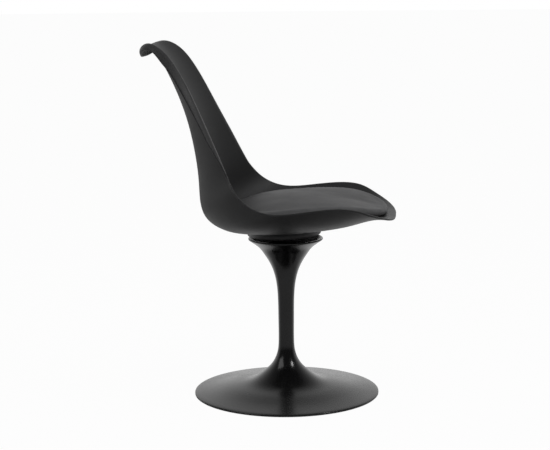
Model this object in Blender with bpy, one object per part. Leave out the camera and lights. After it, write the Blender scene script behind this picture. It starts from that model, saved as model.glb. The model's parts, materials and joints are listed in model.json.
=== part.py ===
# A swivel dining chair: a moulded bucket shell and a loose cushion on a trumpet-shaped metal pedestal.
# Metres, +Z up, +X the way the sitter faces, +Y the sitter's left, origin on the floor on the swivel axis.

import math

import bmesh
import bpy
import numpy as np
from mathutils import Matrix, Vector

# Driving sizes of the pedestal
disc_radius = 0.212
disc_edge_height = 0.0045
column_radius = 0.0179
waist_height = 0.121
mouth_radius = 0.085
mouth_height = 0.362
sheet_wall = 0.0025
skirt_clearance = 0.001
mouth_edge = 0.004

# Driving sizes of the shell, all to its inner skin
seat_half_width = 0.2335
front_reach = 0.2475
back_reach = 0.302
shell_rise = 0.423
shell_wall = 0.0045
boss_radius = 0.0797
boss_height = 0.015
boss_wall = 0.0045
boss_taper = 0.004
boss_fillet = 0.01

# Rolled edge of the shell
seat_roll_radius = 0.005
low_roll_radius = 0.015
side_roll_radius = 0.009
top_roll_radius = 0.0165
seat_roll_angle = math.radians(40)
side_roll_angle = math.radians(84)
top_roll_angle = math.radians(160)
side_flange_length = 0.013
top_flange_length = 0.003

# Swivel: a spindle in two bushes under a ball thrust bearing
spindle_radius = 0.009
spindle_head_radius = 0.015
spindle_head_height = 0.004
bush_wall = 0.002
bush_length = 0.022
bush_flange_inset = 0.0016
bush_flange_height = 0.0015
hub_depth = 0.157
carrier_thickness = 0.004
race_inner_radius = 0.021
race_outer_radius = 0.037
race_height = 0.0032
groove_depth = 0.0012
ball_radius = 0.003
ball_count = 12
cage_height = 0.0022
swivel_plate_height = 0.003
swivel_lift = 0.0065
retaining_washer_height = 0.002
retaining_nut_height = 0.008
retaining_nut_gap = 0.0009

# Fasteners that hold the shell on the swivel plate
bolt_circle_radius = 0.052
bolt_count = 4
bolt_radius = 0.003
bolt_head_radius = 0.0062
bolt_head_height = 0.0032
socket_radius = 0.0023
socket_depth = 0.0018
washer_radius = 0.0085
washer_height = 0.0012
washer_sink = 0.0012
plate_nut_radius = 0.0058
plate_nut_height = 0.005
pillar_margin = 0.0018
rib_count = 4
rib_thickness = 0.0025

# Cushion and what holds it
cushion_crown_rise = 0.076
cushion_peak_reach = 0.12
cushion_peak_drop = 0.0023
cushion_front_fall = 0.01
cushion_back_fall = 0.024
cushion_front_lift = 0.006
board_radius = 0.1
board_height = 0.007
board_lift = 0.0008
strip_width = 0.024

# Ballast and floor pad
floor_pad_height = 0.0025
floor_pad_inset = 0.012
ballast_inset = 0.04
ballast_inner_radius = 0.045
ballast_height = 0.0095

# Clearances
touch_gap = 0.0003
running_gap = 0.0004
cushion_gap = 0.002
cut_overrun = 0.002

# Facets of each kind of form
pedestal_steps = 36
turned_steps = 28
small_steps = 12
shell_spokes = 60
shell_rings = 13
cushion_spokes = 40
cushion_base_rings = 5
cushion_side_steps = 5
bush_steps = 20
cushion_top_rings = 10
pedestal_rings = 19
ballast_steps = 5
groove_steps = 3

# Stations of the inner skin from the front edge to the top of the back. Reaches are shares of front_reach
# ahead of the axis and of back_reach behind it, rises are shares of the height from floor to crest.
axis_station = 4
centre_reach_shares = (1.0, 0.82, 0.60, 0.32, 0.0, -0.275, -0.446,
                       -0.57, -0.621, -0.636, -0.695, -0.795, -0.896, -0.97)
centre_rise_shares = (0.083, 0.084, 0.047, 0.0185, 0.0026, 0.0013, 0.0207,
                      0.073, 0.166, 0.316, 0.554, 0.761, 0.906, 0.974)
rim_reach_shares = (0.984, 0.826, 0.638, 0.3275, 0.043, -0.1226, -0.2354,
                    -0.308, -0.365, -0.449, -0.557, -0.67, -0.795, -0.91)
rim_rise_shares = (0.144, 0.165, 0.191, 0.175, 0.155, 0.1655, 0.206,
                   0.2594, 0.327, 0.446, 0.612, 0.784, 0.932, 1.01)
width_shares = (0.816, 0.874, 0.94, 0.9835, 0.998, 0.963, 0.914,
                0.8506, 0.754, 0.662, 0.577, 0.532, 0.508, 0.5)
seat_side_power = 3.1
back_side_power = 2.2
front_corner_power = 3.11
back_corner_power = 11.0
roll_start_share = 0.58
roll_full_share = 0.73
flange_fade_share = 0.86
low_flange_share = 0.45
ring_spread_power = 1.2
fillet_drop_share = 0.5

# Outer skin of the pedestal. Radii are shares of the way out from the column to the mouth or to the disc's
# edge, heights are shares of the way from the waist up to the mouth, or from the disc's edge up to the waist.
flare_out_shares = (0.967, 0.777, 0.621, 0.486, 0.314, 0.18, 0.067, 0.0134, 0.001)
flare_up_shares = (0.979, 0.942, 0.905, 0.855, 0.78, 0.701, 0.585, 0.432, 0.2)
foot_out_shares = (0.0077, 0.0355, 0.0953, 0.173, 0.32, 0.526, 0.732, 1.0)
foot_up_shares = (0.837, 0.674, 0.511, 0.391, 0.228, 0.142, 0.069, 0.0)

# Foot and shoulder line of the cushion: how far along the skin's stations and across its width they lie
foot_front_share = 0.87
foot_back_share = 0.26
foot_side_share = 0.81
shoulder_front_share = 0.785
shoulder_back_share = 0.175
shoulder_side_share = 0.70
cushion_corner_power = 3.2
cushion_bulge_share = 0.3
cushion_dome_power = 3.0

# Length of each strip as a share of the board's chord at the strip's outer side
strip_length_share = 0.88

# Heights that stack up from the floor, and the radii that fit inside the column
boss_base_height = mouth_height + swivel_lift
floor_height = boss_base_height + boss_height
hub_foot_height = mouth_height - hub_depth
cushion_crown_height = floor_height + cushion_crown_rise
column_bore_radius = column_radius - sheet_wall
hub_radius = column_bore_radius - touch_gap
bush_flange_radius = hub_radius - bush_flange_inset
retaining_radius = column_bore_radius - retaining_nut_gap
ballast_outer_radius = disc_radius - ballast_inset

station_count = len(centre_reach_shares)
probe_share = 0.001


# Scene and material helpers
def clear_scene():
    for item in list(bpy.data.objects):
        bpy.data.objects.remove(item, do_unlink=True)


def make_material(name, colour, roughness, metallic):
    material = bpy.data.materials.new(name)
    material.use_nodes = True
    shader = material.node_tree.nodes["Principled BSDF"]
    shader.inputs["Base Color"].default_value = (*colour, 1.0)
    shader.inputs["Roughness"].default_value = roughness
    shader.inputs["Metallic"].default_value = metallic
    material.diffuse_color = (*colour, 1.0)
    return material


def add_object(name, mesh, material, parent=None, location=(0, 0, 0)):
    item = bpy.data.objects.new(name, mesh)
    bpy.context.scene.collection.objects.link(item)
    item.location = location
    item.parent = parent
    if material is not None:
        item.data.materials.append(material)
    return item


def smooth_mesh(mesh, sharp_angle=math.radians(40)):
    mesh.shade_smooth()
    mesh.set_sharp_from_angle(angle=sharp_angle)


def mesh_from(bm, name):
    bmesh.ops.recalc_face_normals(bm, faces=bm.faces)
    mesh = bpy.data.meshes.new(name)
    bm.to_mesh(mesh)
    bm.free()
    smooth_mesh(mesh)
    return mesh


def hide_cutter(item):
    item.hide_render = True
    item.display_type = "WIRE"


def add_boolean(item, tool, operation):
    modifier = item.modifiers.new(tool.name, "BOOLEAN")
    modifier.operation = operation
    modifier.object = tool
    hide_cutter(tool)


# A turned body: the profile of (radius, height) pairs is spun about the vertical axis. A ring's profile is
# closed, and a solid's starts and ends on the axis.
def turned_mesh(name, profile, steps, closed):
    bm = bmesh.new()
    points = [bm.verts.new((radius, 0.0, height)) for radius, height in profile]
    pairs = list(zip(points[:-1], points[1:]))
    if closed:
        pairs.append((points[-1], points[0]))
    edges = [bm.edges.new(pair) for pair in pairs]
    bmesh.ops.spin(bm, geom=points + edges, axis=(0, 0, 1), cent=(0, 0, 0), angle=math.tau, steps=steps,
                   use_merge=True, use_duplicate=False)
    bmesh.ops.remove_doubles(bm, verts=bm.verts, dist=touch_gap / 100)
    return mesh_from(bm, name)


# A body lofted through rings of equal point counts, closed at each end by a point
def lofted_mesh(name, start, rings, end):
    bm = bmesh.new()
    first = bm.verts.new(start)
    loops = [[bm.verts.new(point) for point in ring] for ring in rings]
    last = bm.verts.new(end)
    count = len(loops[0])
    for spoke in range(count):
        following = (spoke + 1) % count
        bm.faces.new((first, loops[0][spoke], loops[0][following]))
        for inner, outer in zip(loops[:-1], loops[1:]):
            bm.faces.new((inner[spoke], outer[spoke], outer[following], inner[following]))
        bm.faces.new((loops[-1][spoke], last, loops[-1][following]))
    return mesh_from(bm, name)


# Points on an arc of a profile, from one angle to another
def arc_points(centre, radius, start, end, steps):
    return [(centre[0] + radius * math.cos(angle), centre[1] + radius * math.sin(angle))
            for angle in np.linspace(start, end, steps + 1)]


def disc_profile(radius, low, high):
    return [(0, high), (radius, high), (radius, low), (0, low)]


def ring_profile(inner, outer, low, high):
    return [(inner, high), (outer, high), (outer, low), (inner, low)]


def turned_object(name, profile, material, parent=None, steps=turned_steps, closed=False):
    return add_object(name, turned_mesh(name, profile, steps, closed), material, parent)


# Round bars of one radius standing apart at the given places, each from its own low end to its own high end
def posts_object(name, places, radius, lows, highs, steps=small_steps):
    bm = bmesh.new()
    for (x, y), low, high in zip(places, lows, highs):
        middle = Matrix.Translation(Vector((x, y, (low + high) / 2)))
        bmesh.ops.create_cone(bm, cap_ends=True, segments=steps, radius1=radius, radius2=radius,
                              depth=high - low, matrix=middle)
    return add_object(name, mesh_from(bm, name), None)


# Places spread evenly on a circle about the axis
def circle_places(radius, count, start_angle=0.0):
    angles = [start_angle + index * math.tau / count for index in range(count)]
    return [(radius * math.cos(angle), radius * math.sin(angle)) for angle in angles]


# Natural cubic spline through a table's rows at rising knots
def spline_bends(knots, table):
    size = len(table)
    system = np.eye(size)
    pull = np.zeros_like(table)
    gaps = np.diff(knots)
    for row in range(1, size - 1):
        before, after = gaps[row - 1], gaps[row]
        system[row, row - 1:row + 2] = (before, 2 * (before + after), after)
        pull[row] = 6 * ((table[row + 1] - table[row]) / after - (table[row] - table[row - 1]) / before)
    return np.linalg.solve(system, pull)


def spline_at(knots, table, bends, place):
    place = np.asarray(place, dtype=float)
    row = np.clip(np.searchsorted(knots, place, side="right") - 1, 0, len(table) - 2)
    gap = (knots[row + 1] - knots[row])[..., None]
    part = (place[..., None] - knots[row][..., None]) / gap
    rest = 1 - part
    straight = table[row] * rest + table[row + 1] * part
    return straight + gap ** 2 * ((rest ** 3 - rest) * bends[row] + (part ** 3 - part) * bends[row + 1]) / 6


def smooth_step(value):
    value = np.clip(value, 0, 1)
    return value * value * (3 - 2 * value)


def unit(vectors):
    return vectors / np.linalg.norm(vectors, axis=-1, keepdims=True)


# The shell's inner skin
def reach_at(shares):
    shares = np.array(shares)
    return np.where(shares > 0, shares * front_reach, shares * back_reach)


def rise_at(shares):
    return floor_height + shell_rise * np.array(shares)


station_numbers = np.arange(station_count, dtype=float)
stations = np.column_stack((reach_at(centre_reach_shares), rise_at(centre_rise_shares),
                            reach_at(rim_reach_shares), rise_at(rim_rise_shares),
                            seat_half_width * np.array(width_shares)))
station_bends = spline_bends(station_numbers, stations)


# A point of the inner skin: station runs from the front edge to the top, across is the share of the half
# width. Each section rises from its centre to its rim as across to a power.
def skin(station, across):
    row = spline_at(station_numbers, stations, station_bends, station)
    back = smooth_step((np.asarray(station) - axis_station - 1) / axis_station)
    power = seat_side_power + (back_side_power - seat_side_power) * back
    lift = np.abs(across) ** power
    x = row[..., 0] + (row[..., 2] - row[..., 0]) * lift
    z = row[..., 1] + (row[..., 3] - row[..., 1]) * lift
    return np.stack((x, row[..., 4] * across, z), axis=-1)


# Unit normal of the inner skin, on the sitter's side
def skin_normal(station, across):
    along = skin(station + probe_share, across) - skin(station - probe_share, across)
    sideways = skin(station, across + probe_share) - skin(station, across - probe_share)
    return unit(np.cross(sideways, along))


# Station and share across of the skin above a place on the floor plan, found by stepping along the stations
def skin_place(x, y):
    x = np.asarray(x, dtype=float)
    station = np.interp(-x, -stations[:, 0], station_numbers)
    for _ in range(12):
        across = y / spline_at(station_numbers, stations, station_bends, station)[..., 4]
        here = skin(station, across)[..., 0]
        slope = (skin(station + probe_share, across)[..., 0] - here) / probe_share
        station = station - (here - x) / slope
    return station, across


def skin_height(x, y):
    return skin(*skin_place(x, y))[..., 2]


# Half of a closed outline on the skin, from the front centre round to the back centre: a rounded box whose
# corners follow a power, and whose ends and sides are shares of the skin's own. Its points lie closer
# together where it turns, as if a full radian were turn_length long.
def outline_half(end_shares, side_share, corner_powers, count, turn_length):
    turn = np.linspace(0, math.pi, 40 * count)
    ahead = turn < math.pi / 2
    power = np.where(ahead, *corner_powers)
    along = np.abs(np.cos(turn)) ** (2 / power)
    across = side_share * np.abs(np.sin(turn)) ** (2 / power)
    station = np.where(ahead, axis_station * (1 - along * end_shares[0]),
                       axis_station + (station_count - 1 - axis_station) * along * end_shares[1])
    steps = np.diff(skin(station, across), axis=0)
    lengths = np.linalg.norm(steps, axis=1)
    headings = steps / lengths[:, None]
    turns = np.arccos(np.clip((headings[1:] * headings[:-1]).sum(axis=1), -1, 1))
    measure = np.concatenate(((0,), np.cumsum(lengths + turn_length * np.concatenate(((0,), turns)))))
    wanted = np.linspace(0, measure[-1], count + 1)
    return np.interp(wanted, measure, station), np.interp(wanted, measure, across)


# The whole outline, its right half mirrored from its left
def outline_full(half):
    station, across = half
    return np.concatenate((station, station[-2:0:-1])), np.concatenate((across, -across[-2:0:-1]))


def plan_circle(radius, count):
    angles = np.arange(count) * math.tau / count
    return radius * np.cos(angles), radius * np.sin(angles)


# Radius, angle and flange length of the rolled edge at each point of the rim
def roll_sizes(station, across):
    along = station / (station_count - 1)
    back = smooth_step((along - roll_start_share) / (roll_full_share - roll_start_share))
    top = back * (1 - np.abs(across) ** 4)
    climb = smooth_step((along - roll_full_share) / (flange_fade_share - roll_full_share))
    fade = smooth_step((along - flange_fade_share) / (1 - flange_fade_share))
    side = low_roll_radius + (side_roll_radius - low_roll_radius) * climb
    radius = seat_roll_radius + (side - seat_roll_radius) * back + (top_roll_radius - side) * top
    angle = seat_roll_angle + (side_roll_angle - seat_roll_angle) * back
    angle = angle + (top_roll_angle - side_roll_angle) * top
    flange = side_flange_length * back * (low_flange_share + (1 - low_flange_share) * climb) * (1 - fade)
    flange = flange + top_flange_length * top
    return radius[:, None], angle[:, None], flange[:, None]


# Points, skin normals and headings of the rolled edge, a share of the way round its arc and along its flange
def rolled_ring(station, across, arc_share, flange_share):
    rim = skin(station, across)
    normal = skin_normal(station, across)
    outward = unit(np.cross(unit(np.roll(rim, -1, axis=0) - np.roll(rim, 1, axis=0)), normal))
    radius, angle, flange = roll_sizes(station, across)
    turn = angle * arc_share
    heading = np.cos(turn) * outward - np.sin(turn) * normal
    facing = np.sin(turn) * outward + np.cos(turn) * normal
    bent = rim + radius * (np.sin(turn) * outward - (1 - np.cos(turn)) * normal)
    return bent + heading * flange * flange_share, facing, heading


# Rings from the foot of the fillet down the tapered boss wall, round its open end and up to the floor inside
def boss_rings(foot, floor_ring):
    count = len(foot)
    direction = np.column_stack((*plan_circle(1, count), np.zeros(count)))
    up = np.array((0, 0, 1))
    wall_top = np.maximum(foot[:, 2:] - boss_fillet * fillet_drop_share, boss_base_height + boss_wall / 3)
    root = direction * (boss_radius + boss_taper)
    fillet = [foot * (1 - share) ** 2 + (root + up * foot[:, 2:]) * 2 * share * (1 - share)
              + (root + up * wall_top) * share ** 2 for share in (1 / 3, 2 / 3, 1)]
    roof_x, roof_y = plan_circle(boss_radius - boss_wall, count)
    roof = np.column_stack((roof_x, roof_y, skin_height(roof_x, roof_y) - shell_wall))
    edge = boss_wall / 4
    return [*fillet,
            direction * boss_radius + up * (boss_base_height + edge),
            direction * (boss_radius - edge) + up * boss_base_height,
            direction * (boss_radius - boss_wall) + up * boss_base_height,
            roof,
            floor_ring - up * shell_wall]


# The moulded shell, lofted from the middle of its floor out over the inner skin, round the rolled edge, back
# under the outer skin and down round the boss that takes the swivel plate
def shell_mesh():
    powers = (front_corner_power, back_corner_power)
    half = outline_half((1, 1), 1, powers, shell_spokes // 2, seat_half_width / 8)
    rim_station, rim_across = outline_full(half)
    foot_radius = boss_radius + boss_taper + boss_fillet
    foot_station, foot_across = skin_place(*plan_circle(foot_radius, shell_spokes))
    inner = []
    outer = []
    for share in np.linspace(0, 1, shell_rings + 1) ** ring_spread_power:
        station = foot_station + (rim_station - foot_station) * share
        across = foot_across + (rim_across - foot_across) * share
        points = skin(station, across)
        inner.append(points)
        outer.append(points - shell_wall * skin_normal(station, across))
    for arc_share, flange_share in ((0.25, 0), (0.5, 0), (0.75, 0), (1, 0), (1, 1)):
        points, facing, heading = rolled_ring(rim_station, rim_across, arc_share, flange_share)
        inner.append(points)
        outer.append(points - shell_wall * facing)
    edge = (inner[-1] + outer[-1]) / 2 + heading * shell_wall / 3
    middle = float(skin_height(0, 0))
    floor_x, floor_y = plan_circle(boss_radius / 2, shell_spokes)
    floor_ring = np.column_stack((floor_x, floor_y, skin_height(floor_x, floor_y)))
    rings = [floor_ring] + inner + [edge] + outer[::-1] + boss_rings(outer[0], floor_ring)
    return lofted_mesh("seat_shell", (0, 0, middle), rings, (0, 0, middle - shell_wall))


# Takes the upper points of a stiffener half a wall deep into the shell's floor
def meet_floor(item, level):
    for point in item.data.vertices:
        if point.co.z > level:
            point.co.z = float(skin_height(point.co.x, point.co.y)) - shell_wall / 2


# Pillars, ribs and a middle ring inside the boss, which reach from the floor down to the swivel plate
def boss_stiffeners():
    low = boss_base_height + swivel_plate_height + touch_gap
    pillar_tops = [height - shell_wall / 2 for height in bolt_heights]
    pillars = posts_object("boss_pillars", bolt_places, washer_radius + pillar_margin, [low] * bolt_count,
                           pillar_tops)
    high = low + rib_thickness
    ring_outer = spindle_head_radius + boss_wall + touch_gap
    ring = turned_object("boss_ring", ring_profile(ring_outer - rib_thickness, ring_outer, low, high), None,
                         closed=True)
    bm = bmesh.new()
    inner = ring_outer - rib_thickness / 2
    outer = boss_radius - boss_wall / 2
    for index in range(rib_count):
        turn = Matrix.Rotation(index * math.tau / rib_count, 4, "Z")
        place = Matrix.Translation(Vector(((inner + outer) / 2, 0, (low + high) / 2)))
        size = Matrix.Diagonal((outer - inner, rib_thickness, high - low, 1))
        bmesh.ops.create_cube(bm, size=1, matrix=turn @ place @ size)
    ribs = add_object("boss_ribs", mesh_from(bm, "boss_ribs"), None)
    for stiffener in (ring, ribs):
        meet_floor(stiffener, (low + high) / 2)
    return pillars, ring, ribs


def make_shell(parent):
    shell = add_object("seat_shell", shell_mesh(), shell_plastic, parent)
    for stiffener in boss_stiffeners():
        add_boolean(shell, stiffener, "UNION")
    lows = [boss_base_height - cut_overrun] * bolt_count
    tops = [height + washer_radius for height in bolt_heights]
    holes = posts_object("shell_bolt_holes", bolt_places, bolt_radius + running_gap, lows, tops)
    add_boolean(shell, holes, "DIFFERENCE")
    seats = posts_object("shell_washer_seats", bolt_places, washer_radius + running_gap, washer_seats, tops)
    add_boolean(shell, seats, "DIFFERENCE")


# Half of the pedestal's section: the outer skin from mouth to disc edge, and the inner skin a wall inside it
def pedestal_skins():
    flare = np.column_stack((column_radius + (mouth_radius - column_radius) * np.array(flare_out_shares),
                             waist_height + (mouth_height - waist_height) * np.array(flare_up_shares)))
    foot = np.column_stack((column_radius + (disc_radius - column_radius) * np.array(foot_out_shares),
                            disc_edge_height + (waist_height - disc_edge_height) * np.array(foot_up_shares)))
    points = np.concatenate((flare, ((column_radius, waist_height),), foot))
    knots = np.concatenate(((0,), np.cumsum(np.linalg.norm(np.diff(points, axis=0), axis=1))))
    bends = spline_bends(knots, points)
    places = np.interp(np.linspace(0, len(knots) - 1, pedestal_rings), np.arange(len(knots)), knots)
    outer = spline_at(knots, points, bends, places)
    heading = unit(np.gradient(outer, axis=0))
    inner = outer + sheet_wall * np.column_stack((heading[:, 1], -heading[:, 0]))
    return outer, inner


def inner_radius_at(height):
    upper = pedestal_inner[pedestal_inner[:, 1] > waist_height][::-1]
    return float(np.interp(height, upper[:, 1], upper[:, 0]))


def inner_height_at(radius):
    lower = pedestal_inner[pedestal_inner[:, 1] < waist_height]
    return float(np.interp(radius, lower[:, 0], lower[:, 1]))


def make_pedestal(parent):
    edge = mouth_edge / 3
    low_corner = (mouth_radius - edge, mouth_height - mouth_edge + edge)
    high_corner = (mouth_radius - edge, mouth_height - edge)
    mouth = arc_points(high_corner, edge, math.pi / 2, 0, 3)
    mouth += arc_points(low_corner, edge, 0, -math.pi / 3, 2)
    skirt = disc_radius - sheet_wall
    bottom = [(disc_radius, skirt_clearance), (skirt, skirt_clearance)]
    under = pedestal_inner[pedestal_inner[:, 0] < skirt - sheet_wall]
    profile = mouth + [tuple(point) for point in pedestal_outer] + bottom
    profile += [(skirt, inner_height_at(skirt))] + [tuple(point) for point in under[::-1]]
    profile.append((float(under[0, 0]), mouth_height))
    turned_object("pedestal", profile, satin_metal, parent, pedestal_steps, True)


def make_base(parent):
    make_pedestal(parent)
    pad_radius = disc_radius - floor_pad_inset
    turned_object("floor_pad", disc_profile(pad_radius, 0, floor_pad_height), pad_rubber, parent)
    low = floor_pad_height + touch_gap
    reach = np.linspace(ballast_outer_radius, ballast_inner_radius, ballast_steps)
    top = [(radius, min(inner_height_at(radius) - touch_gap, low + ballast_height)) for radius in reach]
    profile = top + [(ballast_inner_radius, low), (ballast_outer_radius, low)]
    turned_object("ballast_plate", profile, cast_metal, parent, closed=True)


# The carrier stands in the pedestal's mouth: a plate under the bearing, and a hub down the column for the
# bushes
def make_carrier(parent):
    bore = spindle_radius + running_gap + bush_wall + touch_gap
    plate_low = carrier_top - carrier_thickness
    plate_radius = inner_radius_at(plate_low) - touch_gap
    cone_low = plate_low - hub_radius
    profile = [(bore, carrier_top), (plate_radius, carrier_top), (plate_radius, plate_low),
               (2 * hub_radius, plate_low), (hub_radius, cone_low), (hub_radius, hub_foot_height),
               (bore, hub_foot_height)]
    turned_object("bearing_carrier", profile, black_steel, parent, closed=True)
    inner = spindle_radius + running_gap
    outer = inner + bush_wall
    low = carrier_top + touch_gap
    high = low + bush_flange_height
    upper = [(inner, high), (bush_flange_radius, high), (bush_flange_radius, low), (outer, low),
             (outer, low - bush_length), (inner, low - bush_length)]
    turned_object("upper_bush", upper, bush_nylon, parent, bush_steps, True)
    high = hub_foot_height - touch_gap
    low = high - bush_flange_height
    lower = [(inner, high + bush_length), (outer, high + bush_length), (outer, high),
             (bush_flange_radius, high), (bush_flange_radius, low), (inner, low)]
    turned_object("lower_bush", lower, bush_nylon, parent, bush_steps, True)


# A bearing race: a ring with a round groove in the face towards the balls
def race_profile(plate_height, face_height):
    side = 1 if face_height > plate_height else -1
    reach = ball_radius + running_gap
    centre = (ball_circle, ball_height)
    depth = abs(face_height - ball_height)
    spread = math.acos(depth / reach)
    start = -side * (math.pi / 2 + spread)
    end = -side * (math.pi / 2 - spread)
    groove = arc_points(centre, reach, start, end, groove_steps)
    return ([(race_inner_radius, plate_height), (race_inner_radius, face_height)] + groove
            + [(race_outer_radius, face_height), (race_outer_radius, plate_height)])


def make_bearing(parent, turning):
    face = lower_race_low + race_height
    turned_object("lower_race", race_profile(lower_race_low, face), bearing_steel, parent, closed=True)
    face = upper_race_high - race_height
    turned_object("upper_race", race_profile(upper_race_high, face), bearing_steel, turning, closed=True)
    rim = ball_radius / 2
    low = ball_height - cage_height / 2
    profile = ring_profile(race_inner_radius + rim, race_outer_radius - rim, low, low + cage_height)
    cage = turned_object("ball_cage", profile, bush_nylon, parent, closed=True)
    pockets = posts_object("cage_pockets", ball_places, ball_radius + touch_gap,
                           [ball_height - race_height] * ball_count, [ball_height + race_height] * ball_count)
    add_boolean(cage, pockets, "DIFFERENCE")
    bm = bmesh.new()
    bmesh.ops.create_uvsphere(bm, u_segments=8, v_segments=5, radius=ball_radius)
    ball = mesh_from(bm, "ball")
    ball.materials.append(bearing_steel)
    for index, (x, y) in enumerate(ball_places):
        add_object(f"ball_{index + 1:02d}", ball, None, parent, (x, y, ball_height))


# The spindle hangs from its head on the swivel plate and turns in the bushes
def make_spindle(parent):
    head_low = boss_base_height + swivel_plate_height + touch_gap
    head_high = head_low + spindle_head_height
    step = hub_foot_height - touch_gap - bush_flange_height - running_gap
    thread = spindle_radius - bush_wall
    nut_low = step - 2 * touch_gap - retaining_washer_height - retaining_nut_height
    bevel = thread / 6
    end = nut_low - 2 * bevel
    profile = [(0, head_high), (spindle_head_radius - bevel, head_high),
               (spindle_head_radius, head_high - bevel), (spindle_head_radius, head_low),
               (spindle_radius, head_low), (spindle_radius, step), (thread, step),
               (thread, end + bevel), (thread - bevel, end), (0, end)]
    turned_object("spindle", profile, zinc_steel, parent, bush_steps)
    hole = thread + touch_gap
    high = step - touch_gap
    low = high - retaining_washer_height
    turned_object("spindle_washer", ring_profile(hole, retaining_radius, low, high), zinc_steel, parent,
                  small_steps, True)
    make_nut("spindle_nut", hole, retaining_radius, retaining_nut_height, (0, 0, nut_low), parent)


# A hexagon nut standing on its lower face
def nut_mesh(hole, corner_radius, height):
    bm = bmesh.new()
    rims = []
    for level in (0, height):
        for radius, count in ((hole, small_steps), (corner_radius, 6)):
            loop = [bm.verts.new((x, y, level)) for x, y in circle_places(radius, count)]
            edges = [bm.edges.new((loop[index - 1], loop[index])) for index in range(count)]
            rims.append(edges)
    for first, second in ((0, 1), (2, 3)):
        bmesh.ops.triangle_fill(bm, edges=rims[first] + rims[second], use_beauty=True, use_dissolve=False)
    for first, second in ((0, 2), (1, 3)):
        bmesh.ops.bridge_loops(bm, edges=rims[first] + rims[second])
    return mesh_from(bm, "nut")


def make_nut(name, hole, corner_radius, height, location, parent):
    return add_object(name, nut_mesh(hole, corner_radius, height), zinc_steel, parent, location)


def make_swivel_plate(parent):
    radius = boss_radius - boss_wall - touch_gap
    high = boss_base_height + swivel_plate_height
    profile = ring_profile(spindle_radius + touch_gap, radius, boss_base_height, high)
    plate = turned_object("swivel_plate", profile, black_steel, parent, closed=True)
    holes = posts_object("plate_bolt_holes", bolt_places, bolt_radius + touch_gap,
                         [boss_base_height - cut_overrun] * bolt_count, [high + cut_overrun] * bolt_count)
    add_boolean(plate, holes, "DIFFERENCE")


# Bolts through the shell's floor into nuts under the swivel plate, each with a washer in its own seat
def make_fasteners(parent):
    nut_low = boss_base_height - touch_gap - plate_nut_height
    round_off = bolt_head_height / 3
    washer = ring_profile(bolt_radius + touch_gap, washer_radius, 0, washer_height)
    washer_mesh = turned_mesh("plate_washer", washer, small_steps, True)
    nut = nut_mesh(bolt_radius + touch_gap, plate_nut_radius, plate_nut_height)
    washer_mesh.materials.append(zinc_steel)
    nut.materials.append(black_steel)
    for index, (x, y) in enumerate(bolt_places):
        number = index + 1
        washer_low = washer_seats[index] + touch_gap
        head_low = washer_low + washer_height + touch_gap
        shank = head_low - nut_low + bolt_radius / 2
        profile = [(0, bolt_head_height), (bolt_head_radius - 2 * round_off, bolt_head_height),
                   (bolt_head_radius - round_off / 2, bolt_head_height - round_off),
                   (bolt_head_radius, round_off / 2), (bolt_head_radius, 0), (bolt_radius, 0),
                   (bolt_radius, -shank), (0, -shank)]
        bolt = turned_object(f"plate_bolt_{number}", profile, zinc_steel, parent, small_steps)
        bolt.location = (x, y, head_low)
        head_high = head_low + bolt_head_height
        socket = posts_object(f"bolt_socket_{number}", [(x, y)], socket_radius, [head_high - socket_depth],
                              [head_high + cut_overrun], 6)
        add_boolean(bolt, socket, "DIFFERENCE")
        add_object(f"plate_washer_{number}", washer_mesh, None, parent, (x, y, washer_low))
        add_object(f"plate_nut_{number}", nut, None, parent, (x, y, nut_low))


# Underside height of the cushion board, a flat disc laid along the slope of the shell's floor and clear of it
# all round its edge
def board_base(x):
    edge_x, edge_y = plan_circle(board_radius, turned_steps)
    slope = float(skin_height(board_radius, 0) - skin_height(-board_radius, 0)) / (2 * board_radius)
    highest = float(np.max(skin_height(edge_x, edge_y) - slope * edge_x))
    return highest + board_lift + slope * x


def make_board(parent):
    tilt = math.atan2(board_base(board_radius) - board_base(-board_radius), 2 * board_radius)
    edge = board_height / 4
    profile = [(0, board_height), (board_radius - edge, board_height), (board_radius, board_height - edge),
               (board_radius, edge), (board_radius - edge, 0), (0, 0)]
    board = turned_object("cushion_board", profile, board_wood, parent)
    board.location = (0, 0, board_base(0))
    board.rotation_euler = (0, -tilt, 0)


# Hook-and-loop strips between the board and the shell's floor, their undersides shaped to the floor
def make_strips(parent):
    middle_reach = board_radius - strip_width
    outer_reach = middle_reach + strip_width / 2
    strip_length = strip_length_share * 2 * math.sqrt(board_radius ** 2 - outer_reach ** 2)
    for name, middle in (("hook_strip_front", middle_reach), ("hook_strip_rear", -middle_reach)):
        bm = bmesh.new()
        bmesh.ops.create_grid(bm, x_segments=2, y_segments=6, size=1)
        solid = bmesh.ops.extrude_face_region(bm, geom=bm.faces[:])
        raised = {item for item in solid["geom"] if isinstance(item, bmesh.types.BMVert)}
        for point in bm.verts:
            x = middle + point.co.x * strip_width / 2
            y = point.co.y * strip_length / 2
            z = board_base(x) - touch_gap if point in raised else float(skin_height(x, y)) + 2 * touch_gap
            point.co = (x, y, z)
        add_object(name, mesh_from(bm, name), strip_nylon, parent)


# Stations and shares across of one of the cushion's outlines
def cushion_outline(front_share, back_share, side_share):
    ends = (front_share, back_share)
    powers = (cushion_corner_power, cushion_corner_power)
    half = outline_half(ends, side_share, powers, cushion_spokes // 2, seat_half_width / 8)
    return outline_full(half)


# The cushion's shoulder line. It is highest at the peak, and falls off to the front and to the back by the
# square of the way there.
def cushion_shoulder():
    line = skin(*cushion_outline(shoulder_front_share, shoulder_back_share, shoulder_side_share))
    past = line[:, 0] - cushion_peak_reach
    ahead = np.clip(past / past.max(), 0, 1)
    behind = np.clip(past / past.min(), 0, 1)
    line[:, 2] = cushion_crown_height - cushion_peak_drop
    line[:, 2] -= cushion_front_fall * ahead ** 2 + cushion_back_fall * behind ** 2
    return line


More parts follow.
